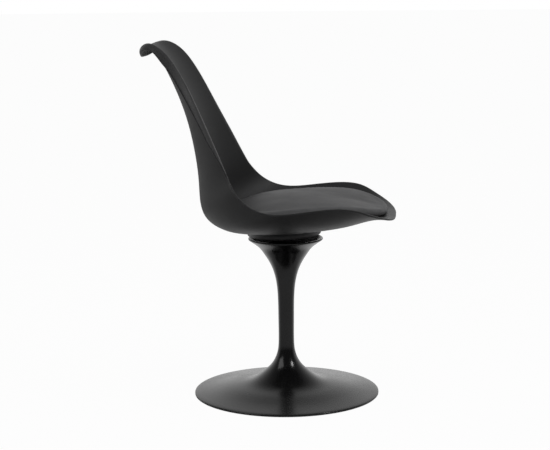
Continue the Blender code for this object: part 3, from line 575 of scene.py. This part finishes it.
cushion = {
    "crown": 0.4595, "peakReach": 0.12, "peakDrop": 0.0023, "frontFall": 0.018, "backFall": 0.024,
    "gap": 0.002, "frontLift": 0.002,                             # over the shell, and more at the front end
    "foot": (0.90, 0.26, 0.83), "shoulder": (0.82, 0.175, 0.73),  # front, back and side shares
    "cornerPower": 2.5, "bulge": 0.3, "domePower": 3.0, "creaseRings": 4.0,
    "boardRadius": 0.1, "boardHeight": 0.007, "boardLift": 0.0008, "touch": 0.0003, "boardSides": 28,
    "spokes": 200, "baseRings": 14, "sideRings": 12, "topRings": 40,
    # the cloth: it starts smaller by shrink and may pass the rings by reach
    "voxel": 0.005, "frames": 20, "pressure": 4.0, "shrink": 0.0012, "reach": 0.0048,
    "stiffness": 40, "bending": 30, "evenings": 30, "heldBelow": -0.2,
}


def boardBase(x):
    # underside of the board, a flat disc laid along the floor's slope and clear of it all round
    sides, radius = cushion["boardSides"], cushion["boardRadius"]
    angle = np.arange(sides) * math.tau / sides
    edgeX, edgeY = radius * np.cos(angle), radius * np.sin(angle)
    slope = float(skinHeight(radius, 0) - skinHeight(-radius, 0)) / (2 * radius)
    return float(np.max(skinHeight(edgeX, edgeY) - slope * edgeX)) + cushion["boardLift"] + slope * x


def padOutline(shares):
    front, back, side = shares
    power = cushion["cornerPower"]
    return outline((front, back), side, (power, power), cushion["spokes"])


def padShoulder():
    # the line where side and top meet: highest at the peak, falling off to both ends by the square of the way
    c = cushion
    line = skin(*padOutline(c["shoulder"]))
    past = line[:, 0] - c["peakReach"]
    ahead, behind = np.clip(past / past.max(), 0, 1), np.clip(past / past.min(), 0, 1)
    line[:, 2] = c["crown"] - c["peakDrop"] - c["frontFall"] * ahead ** 2 - c["backFall"] * behind ** 2
    return line


def cushionRings():
    # rings from the hollow over the board out along the shell, up the rounded side and over the crown
    c = cushion
    spokes = c["spokes"]
    edgeStation, edgeAcross = padOutline(c["foot"])
    angle = np.arange(spokes) * math.tau / spokes
    radius = c["boardRadius"] + 2 * c["touch"]
    boardX, boardY = radius * np.cos(angle), radius * np.sin(angle)
    boardTop = boardBase(boardX) + c["boardHeight"] + c["touch"]
    startStation, startAcross = skinPlace(boardX, boardY)
    ahead = np.clip(np.cos(angle), 0, 1)[:, None]
    up = np.array((0, 0, 1))
    base = [np.column_stack((boardX * s, boardY * s, boardBase(boardX * s) + c["boardHeight"] + c["touch"]))
            for s in (0.25, 0.5, 0.75, 1)]
    hollowFoot = np.minimum(skinHeight(boardX, boardY) + c["gap"], boardTop - c["touch"])
    base.append(np.column_stack((boardX, boardY, (hollowFoot + boardTop) / 2)))
    base.append(np.column_stack((boardX, boardY, hollowFoot)))
    for share in np.linspace(0, 1, c["baseRings"] + 1)[1:]:
        station = startStation + (edgeStation - startStation) * share
        across = startAcross + (edgeAcross - startAcross) * share
        base.append(skin(station, across) + up * (c["gap"] + c["frontLift"] * ahead ** 2 * share ** 3))
    # the side is a curve of the third order, pulled upright at its foot and level at the shoulder
    foot, shoulder = base[-1], padShoulder()
    rise = up * (shoulder - foot)
    lean = foot - shoulder + rise
    lowPull = foot + rise * (1 - c["bulge"]) + lean * c["bulge"]
    highPull = shoulder + lean * (1 - c["bulge"])
    side = [foot * (1 - t) ** 3 + 3 * lowPull * (1 - t) ** 2 * t + 3 * highPull * (1 - t) * t ** 2
            + shoulder * t ** 3 for t in np.linspace(0, 1, c["sideRings"] + 1)[1:]]
    top = []
    for share in np.linspace(1, 0, c["topRings"] + 1)[1:-1]:
        ring = shoulder * share
        ring[:, 2] = c["crown"] - (c["crown"] - shoulder[:, 2]) * share ** c["domePower"]
        top.append(ring)
    return np.array(base), np.array(side), np.array(top)


def meshTriples(mesh, name):
    # the places ("co") or the normals of a mesh's points, a row each
    flat = np.empty(len(mesh.vertices) * 3)
    mesh.vertices.foreach_get(name, flat)
    return flat.reshape(-1, 3)


def nearestMix(places, known, values, count=6, chunk=400, tiny=1e-7):
    # each place takes the mean of the values at its nearest known points, weighted by nearness
    mixed = np.empty((len(places), values.shape[1]))
    for start in range(0, len(places), chunk):
        part = places[start:start + chunk]
        square = ((part[:, None] - known[None]) ** 2).sum(-1)
        near = np.argpartition(square, count, axis=1)[:, :count]
        weight = 1 / (np.take_along_axis(square, near, 1) + tiny)
        mixed[start:start + chunk] = (values[near] * weight[..., None]).sum(1) / weight.sum(1)[:, None]
    return mixed


def evened(moved, mesh, passes):
    # each point's movement is averaged with that of its neighbours, which takes out the finest wrinkles
    ends = np.empty(len(mesh.edges) * 2, dtype=np.int64)
    mesh.edges.foreach_get("vertices", ends)
    first, second = ends.reshape(-1, 2).T
    count = np.bincount(ends, minlength=len(moved))[:, None]
    for number in range(passes):
        total = np.zeros_like(moved)
        np.add.at(total, first, moved[second])
        np.add.at(total, second, moved[first])
        moved = (moved + total / count) / 2
    return moved


def swollen(points, mesh):
    # the pad, a little shrunk and remeshed evenly, is blown up as cloth, and its movement is carried back
    c = cushion
    source = bpy.data.objects.new("padCloth", mesh.copy())
    bpy.context.scene.collection.objects.link(source)
    shrunk = points - meshTriples(mesh, "normal") * c["shrink"]
    source.data.vertices.foreach_set("co", shrunk.ravel())
    remesh = source.modifiers.new("even", "REMESH")
    remesh.mode, remesh.voxel_size = "VOXEL", c["voxel"]
    graph = bpy.context.evaluated_depsgraph_get()
    even = bpy.data.meshes.new_from_object(source.evaluated_get(graph))
    source.modifiers.clear()
    source.data = even
    rest = meshTriples(even, "co")
    held = source.vertex_groups.new(name="held")
    underside = np.flatnonzero(meshTriples(even, "normal")[:, 2] < c["heldBelow"])
    held.add(underside.tolist(), 1.0, "REPLACE")
    cloth = source.modifiers.new("cloth", "CLOTH")
    cloth.settings.use_pressure = True
    cloth.settings.uniform_pressure_force = c["pressure"]
    cloth.settings.effector_weights.gravity = 0
    cloth.settings.vertex_group_mass = "held"
    cloth.settings.tension_stiffness = cloth.settings.compression_stiffness = c["stiffness"]
    cloth.settings.bending_stiffness = c["bending"]
    scene = bpy.context.scene
    for number in range(1, c["frames"] + 1):
        scene.frame_set(number)
    graph = bpy.context.evaluated_depsgraph_get()
    done = bpy.data.meshes.new_from_object(source.evaluated_get(graph))
    moved = meshTriples(done, "co") - rest
    scene.frame_set(1)
    bpy.data.objects.remove(source)
    moved = evened(moved, even, c["evenings"])
    length = np.linalg.norm(moved, axis=1, keepdims=True)
    moved *= np.minimum(1, (c["reach"] + c["shrink"]) / np.maximum(length, 1e-9))
    mean, most = (round(float(way) * 1000, 1) for way in (length.mean(), length.max()))
    print("cushion: cloth moved", mean, "mm on average, at most", most)
    return shrunk + nearestMix(shrunk, rest, moved)


def cushionSurface():
    base, side, top = cushionRings()
    rings = np.concatenate((base, side, top))
    c = cushion
    start = (0, 0, boardBase(0) + c["boardHeight"] + c["touch"])
    mesh = gridMesh("seatCushion", rings, start, (0, 0, c["crown"]))
    sideStart, topStart = len(base), len(base) + len(side)
    points = meshTriples(mesh, "co")
    # the underside stays as it lies on the shell and the board
    free = np.zeros(len(rings))
    free[sideStart:topStart] = smoothStep(np.linspace(0, 1, len(side)))
    free[topStart:] = 1
    share = np.append(np.repeat(free, c["spokes"]), (0, 1))[:, None]
    points = points + (swollen(points, mesh) - points) * share
    mesh.vertices.foreach_set("co", points.ravel())
    mesh.update()
    # how near a point is to the turned edge, which is stretched paler
    crease = np.zeros(len(rings))
    crease[sideStart:topStart] = 1
    crease[topStart:] = np.exp(-np.arange(len(top)) / c["creaseRings"])
    giveValue(mesh, "crease", np.append(np.repeat(crease, c["spokes"]), (0, 0)))
    return mesh


cushionPiece = addPiece("seatCushion", cushionSurface(), "seat", "cushion_leather", "cushion")
print("cushion:", len(cushionPiece.data.polygons), "faces")


def newGroup(name, inputs, outputs):
    # a node group: its inputs are values or colours by name, and its outputs are colours or not
    group = bpy.data.node_groups.new(name, "ShaderNodeTree")
    kinds = {True: "NodeSocketColor", False: "NodeSocketFloat"}
    for label, value in inputs.items():
        kind = kinds[isinstance(value, tuple)]
        group.interface.new_socket(label, in_out="INPUT", socket_type=kind).default_value = value
    for label, coloured in outputs.items():
        group.interface.new_socket(label, in_out="OUTPUT", socket_type=kinds[coloured])
    return group, group.nodes.new("NodeGroupInput"), group.nodes.new("NodeGroupOutput")


def spreadOver(tree, kind, size, values, **settings):
    # a texture node on the piece's own coordinates, with its size from a socket
    node = addNode(tree, kind, values, **settings)
    tree.links.new(objectPlace(tree), node.inputs["Vector"])
    tree.links.new(size, node.inputs["Scale"])
    return node


def makeMottle():
    # cloudy change of tone: a soft noise moves the colour up and down by a share, and gives its mask
    group, given, out = newGroup("mottle", {"Colour": (0.5, 0.5, 0.5, 1), "Spread": 0.2, "Size": 8.0},
                                 {"Colour": True, "Mask": False})
    noise = spreadOver(group, "ShaderNodeTexNoise", given.outputs["Size"], {"Detail": 5.0, "Roughness": 0.6})
    swing = linkMath(group, "SUBTRACT", noise.outputs["Fac"], 0.5)
    swing = linkMath(group, "MULTIPLY", swing, given.outputs["Spread"])
    gain = linkMath(group, "ADD", linkMath(group, "MULTIPLY", swing, 2.0), 1.0)
    scaled = addNode(group, "ShaderNodeVectorMath", operation="SCALE")
    group.links.new(given.outputs["Colour"], scaled.inputs[0])
    group.links.new(gain, scaled.inputs["Scale"])
    group.links.new(scaled.outputs[0], out.inputs["Colour"])
    group.links.new(noise.outputs["Fac"], out.inputs["Mask"])
    return group


def makePebble():
    # moulded or pressed grain: rounded cells with fine noise over them, as a height and a mask of the valleys
    group, given, out = newGroup("pebble", {"Size": 700.0, "Softness": 0.6}, {"Height": False, "Valley": False})
    size = given.outputs["Size"]
    cells = spreadOver(group, "ShaderNodeTexVoronoi", size, {"Randomness": 1.0}, feature="SMOOTH_F1")
    noise = spreadOver(group, "ShaderNodeTexNoise", size, {"Detail": 3.0})
    group.links.new(given.outputs["Softness"], cells.inputs["Smoothness"])
    height = linkMath(group, "SUBTRACT", 1.0, cells.outputs["Distance"])
    height = linkMath(group, "ADD", height, linkMath(group, "MULTIPLY", noise.outputs["Fac"], 0.5))
    group.links.new(height, out.inputs["Height"])
    group.links.new(rangeOf(group, cells.outputs["Distance"], 0.0, 1.0, 0.35, 0.75), out.inputs["Valley"])
    return group


def makeRub():
    # where use has rubbed a finish: the piece's own value broken up by noise
    group, given, out = newGroup("rubbed", {"Where": 0.0, "Size": 40.0, "Amount": 0.5}, {"Mask": False})
    noise = spreadOver(group, "ShaderNodeTexNoise", given.outputs["Size"], {"Detail": 6.0, "Roughness": 0.65})
    patches = rangeOf(group, noise.outputs["Fac"], 0.0, 1.0, 0.42, 0.62)
    product = linkMath(group, "MULTIPLY", patches, given.outputs["Where"])
    group.links.new(linkMath(group, "MULTIPLY", product, given.outputs["Amount"]), out.inputs["Mask"])
    return group


mottleGroup, pebbleGroup, rubGroup = makeMottle(), makePebble(), makeRub()


def placeGroup(tree, group, values, links=None):
    # a group with its own values, and links to its other inputs
    node = addNode(tree, "ShaderNodeGroup", node_tree=group)
    for key, value in values.items():
        node.inputs[key].default_value = value
    for key, socket in (links or {}).items():
        tree.links.new(socket, node.inputs[key])
    return node


def placeCloud(tree, p):
    return placeGroup(tree, mottleGroup, {"Colour": p["colour"], "Spread": p["spread"], "Size": p["cloud"]})


def placeRub(tree, where, size, amount):
    # the rubbed mask for a value that the piece's mesh carries
    own = addNode(tree, "ShaderNodeAttribute", attribute_name=where).outputs["Fac"]
    return placeGroup(tree, rubGroup, {"Size": size, "Amount": amount}, {"Where": own}).outputs["Mask"]


def newFinish(name, **plain):
    # a material with its Principled shader, whose single-valued sockets are set directly
    material = bpy.data.materials.new(name)
    material.use_nodes = True
    shader = material.node_tree.nodes["Principled BSDF"]
    for key, value in plain.items():
        shader.inputs[key.replace("_", " ")].default_value = value
    return material, material.node_tree, shader


def mixColour(tree, mask, first, second):
    # from the first colour, a value or a socket, to the second, a value, by a mask
    mixer = addNode(tree, "ShaderNodeMix", {7: second}, data_type="RGBA")      # 6 and 7 are its colours
    if isinstance(first, tuple):
        mixer.inputs[6].default_value = first
    else:
        tree.links.new(first, mixer.inputs[6])
    tree.links.new(mask, mixer.inputs["Factor"])
    return mixer.outputs[2]


def sheenOf(tree, cloud, ends):
    # roughness that follows the clouds
    return rangeOf(tree, cloud.outputs["Mask"], *ends, 0.3, 0.7)


def bumpInto(tree, shader, height, distance, strength):
    bump = addNode(tree, "ShaderNodeBump", {"Distance": distance, "Strength": strength})
    tree.links.new(height, bump.inputs["Height"])
    tree.links.new(bump.outputs["Normal"], shader.inputs["Normal"])


plastic = {
    "colour": (0.015, 0.015, 0.0154, 1), "rubColour": (0.023, 0.023, 0.0236, 1), "spread": 0.22, "cloud": 7.0,
    "grain": 900.0, "softness": 0.5, "depth": 0.00006, "rough": (0.42, 0.56), "level": 0.33,
    "rubSize": 30.0, "rubAmount": 0.5, "rubSheen": 0.08,
}


def makePlastic():
    # moulded polypropylene: fine pebbled grain, cloudy sheen, the fold and cut edge rubbed a little paler
    p = plastic
    material, tree, shader = newFinish("shellPlastic", Specular_IOR_Level=p["level"])
    cloud = placeCloud(tree, p)
    grain = placeGroup(tree, pebbleGroup, {"Size": p["grain"], "Softness": p["softness"]})
    rub = placeRub(tree, "rub", p["rubSize"], p["rubAmount"])
    colour = mixColour(tree, rub, cloud.outputs["Colour"], p["rubColour"])
    tree.links.new(colour, shader.inputs["Base Color"])
    smoother = linkMath(tree, "MULTIPLY", rub, p["rubSheen"])
    rough = linkMath(tree, "SUBTRACT", sheenOf(tree, cloud, p["rough"]), smoother)
    tree.links.new(rough, shader.inputs["Roughness"])
    bumpInto(tree, shader, grain.outputs["Height"], p["depth"], 0.6)
    return material


coat = {
    "colour": (0.004, 0.004, 0.0042, 1), "spread": 0.3, "cloud": 9.0, "rough": (0.17, 0.25), "level": 0.5,
    "peel": 420.0, "depth": 0.00002, "rubColour": (0.012, 0.012, 0.012, 1), "rubSize": 60.0, "rubAmount": 0.4,
    "dustColour": (0.05, 0.05, 0.048, 1), "dustSize": 260.0, "dustAmount": 0.1, "dustRough": 0.6,
}


def makeCoat():
    # satin powder coat: orange peel, wiped patches of sheen, a trace of dust on the open foot
    p = coat
    material, tree, shader = newFinish("satinCoat", Specular_IOR_Level=p["level"])
    cloud = placeCloud(tree, p)
    dust = placeRub(tree, "dust", p["dustSize"], p["dustAmount"])
    rub = placeRub(tree, "rub", p["rubSize"], p["rubAmount"])
    colour = mixColour(tree, dust, cloud.outputs["Colour"], p["dustColour"])
    tree.links.new(mixColour(tree, rub, colour, p["rubColour"]), shader.inputs["Base Color"])
    dusty = linkMath(tree, "MULTIPLY", dust, p["dustRough"])
    tree.links.new(linkMath(tree, "ADD", sheenOf(tree, cloud, p["rough"]), dusty), shader.inputs["Roughness"])
    peel = addNode(tree, "ShaderNodeTexNoise", {"Scale": p["peel"], "Detail": 2.0})
    tree.links.new(objectPlace(tree), peel.inputs["Vector"])
    bumpInto(tree, shader, peel.outputs["Fac"], p["depth"], 0.5)
    return material


leather = {
    "colour": (0.041, 0.041, 0.042, 1), "valley": (0.027, 0.027, 0.0275, 1), "valleyShare": 0.5,
    "creaseColour": (0.056, 0.056, 0.057, 1), "creaseSize": 35.0, "creaseAmount": 0.5,
    "spread": 0.14, "cloud": 11.0, "grain": 520.0, "softness": 0.25, "depth": 0.00018,
    "rough": (0.52, 0.64), "level": 0.35,
}


def makeLeather():
    # leatherette: pressed grain with darker valleys, soft cloudy sheen, a turned edge stretched a little paler
    p = leather
    material, tree, shader = newFinish("cushionLeather", Specular_IOR_Level=p["level"])
    cloud = placeCloud(tree, p)
    grain = placeGroup(tree, pebbleGroup, {"Size": p["grain"], "Softness": p["softness"]})
    worn = placeRub(tree, "crease", p["creaseSize"], p["creaseAmount"])
    dark = linkMath(tree, "MULTIPLY", grain.outputs["Valley"], p["valleyShare"])
    colour = mixColour(tree, dark, cloud.outputs["Colour"], p["valley"])
    tree.links.new(mixColour(tree, worn, colour, p["creaseColour"]), shader.inputs["Base Color"])
    tree.links.new(sheenOf(tree, cloud, p["rough"]), shader.inputs["Roughness"])
    bumpInto(tree, shader, grain.outputs["Height"], p["depth"], 0.5)
    return material


finishes = {
    # black_steel: the swivel hardware hidden in the gap under the seat is black partly as its own black paint
    # and partly as painted shade, so that the gap reads as dark as its shadow
    "black_steel": {"colour": (0.004, 0.004, 0.004, 1), "metal": 0.0, "rough": (0.75, 0.9), "spread": 0.25,
                    "cloud": 70.0, "grain": 900.0, "depth": 0.00002},
    "zinc_steel": {"colour": (0.42, 0.43, 0.45, 1), "metal": 1.0, "rough": (0.28, 0.42), "spread": 0.18,
                   "cloud": 90.0, "grain": 1500.0, "depth": 0.00001},
    "bearing_steel": {"colour": (0.55, 0.55, 0.57, 1), "metal": 1.0, "rough": (0.1, 0.2), "spread": 0.1,
                      "cloud": 120.0, "grain": 2500.0, "depth": 0.000003},
    "cast_metal": {"colour": (0.075, 0.072, 0.07, 1), "metal": 0.6, "rough": (0.6, 0.8), "spread": 0.35,
                   "cloud": 45.0, "grain": 600.0, "depth": 0.0004},
    "bush_nylon": {"colour": (0.68, 0.66, 0.6, 1), "metal": 0.0, "rough": (0.42, 0.55), "spread": 0.08,
                   "cloud": 80.0, "grain": 1200.0, "depth": 0.00002},
    "pad_rubber": {"colour": (0.018, 0.018, 0.018, 1), "metal": 0.0, "rough": (0.75, 0.92), "spread": 0.25,
                   "cloud": 30.0, "grain": 500.0, "depth": 0.00025},
    "strip_nylon": {"colour": (0.02, 0.02, 0.021, 1), "metal": 0.0, "rough": (0.85, 0.98), "spread": 0.4,
                    "cloud": 300.0, "grain": 900.0, "depth": 0.0006},
}


def makePlainFinish(name, p):
    # the finishes of the hidden pieces: cloudy tone, sheen that follows it, and their own grain
    material, tree, shader = newFinish(name, Metallic=p["metal"])
    cloud = placeCloud(tree, p)
    grain = placeGroup(tree, pebbleGroup, {"Size": p["grain"], "Softness": 0.4})
    tree.links.new(cloud.outputs["Colour"], shader.inputs["Base Color"])
    tree.links.new(sheenOf(tree, cloud, p["rough"]), shader.inputs["Roughness"])
    bumpInto(tree, shader, grain.outputs["Height"], p["depth"], 0.7)
    return material


wood = {
    "light": (0.5, 0.34, 0.19, 1), "dark": (0.28, 0.16, 0.08, 1), "stretch": (3.0, 40.0, 160.0), "grain": 4.0,
    "rough": (0.6, 0.8), "level": 0.3, "depth": 0.0002,
}


def makeWood():
    # birch plywood: long grain on the faces, plies across the edge
    material, tree, shader = newFinish("boardWood", Specular_IOR_Level=wood["level"])
    stretch = addNode(tree, "ShaderNodeMapping", {"Scale": wood["stretch"]})
    noise = addNode(tree, "ShaderNodeTexNoise", {"Scale": wood["grain"], "Detail": 6.0, "Distortion": 0.6})
    tree.links.new(objectPlace(tree), stretch.inputs["Vector"])
    tree.links.new(stretch.outputs["Vector"], noise.inputs["Vector"])
    lines = noise.outputs["Fac"]
    tree.links.new(mixColour(tree, lines, wood["light"], wood["dark"]), shader.inputs["Base Color"])
    tree.links.new(rangeOf(tree, lines, *wood["rough"]), shader.inputs["Roughness"])
    bumpInto(tree, shader, lines, wood["depth"], 0.6)
    return material


made = {name: makePlainFinish(name, values) for name, values in finishes.items()}
made["board_wood"] = makeWood()
made["shell_plastic"], made["satin_metal"], made["cushion_leather"] = makePlastic(), makeCoat(), makeLeather()


def dress(item, material):
    item.data.materials.clear()
    item.data.materials.append(material)


wanted = [(shellPiece, "shell_plastic"), (pedestalPiece, "satin_metal"), (cushionPiece, "cushion_leather")]
wanted += [(nodes[row["node"]], row["material_slot"]) for row in frame["record"]["subparts"]]
for item, slotName in wanted:
    dress(item, made[slotName])
print("finishes:", len(made), "materials on", len(wanted), "pieces")
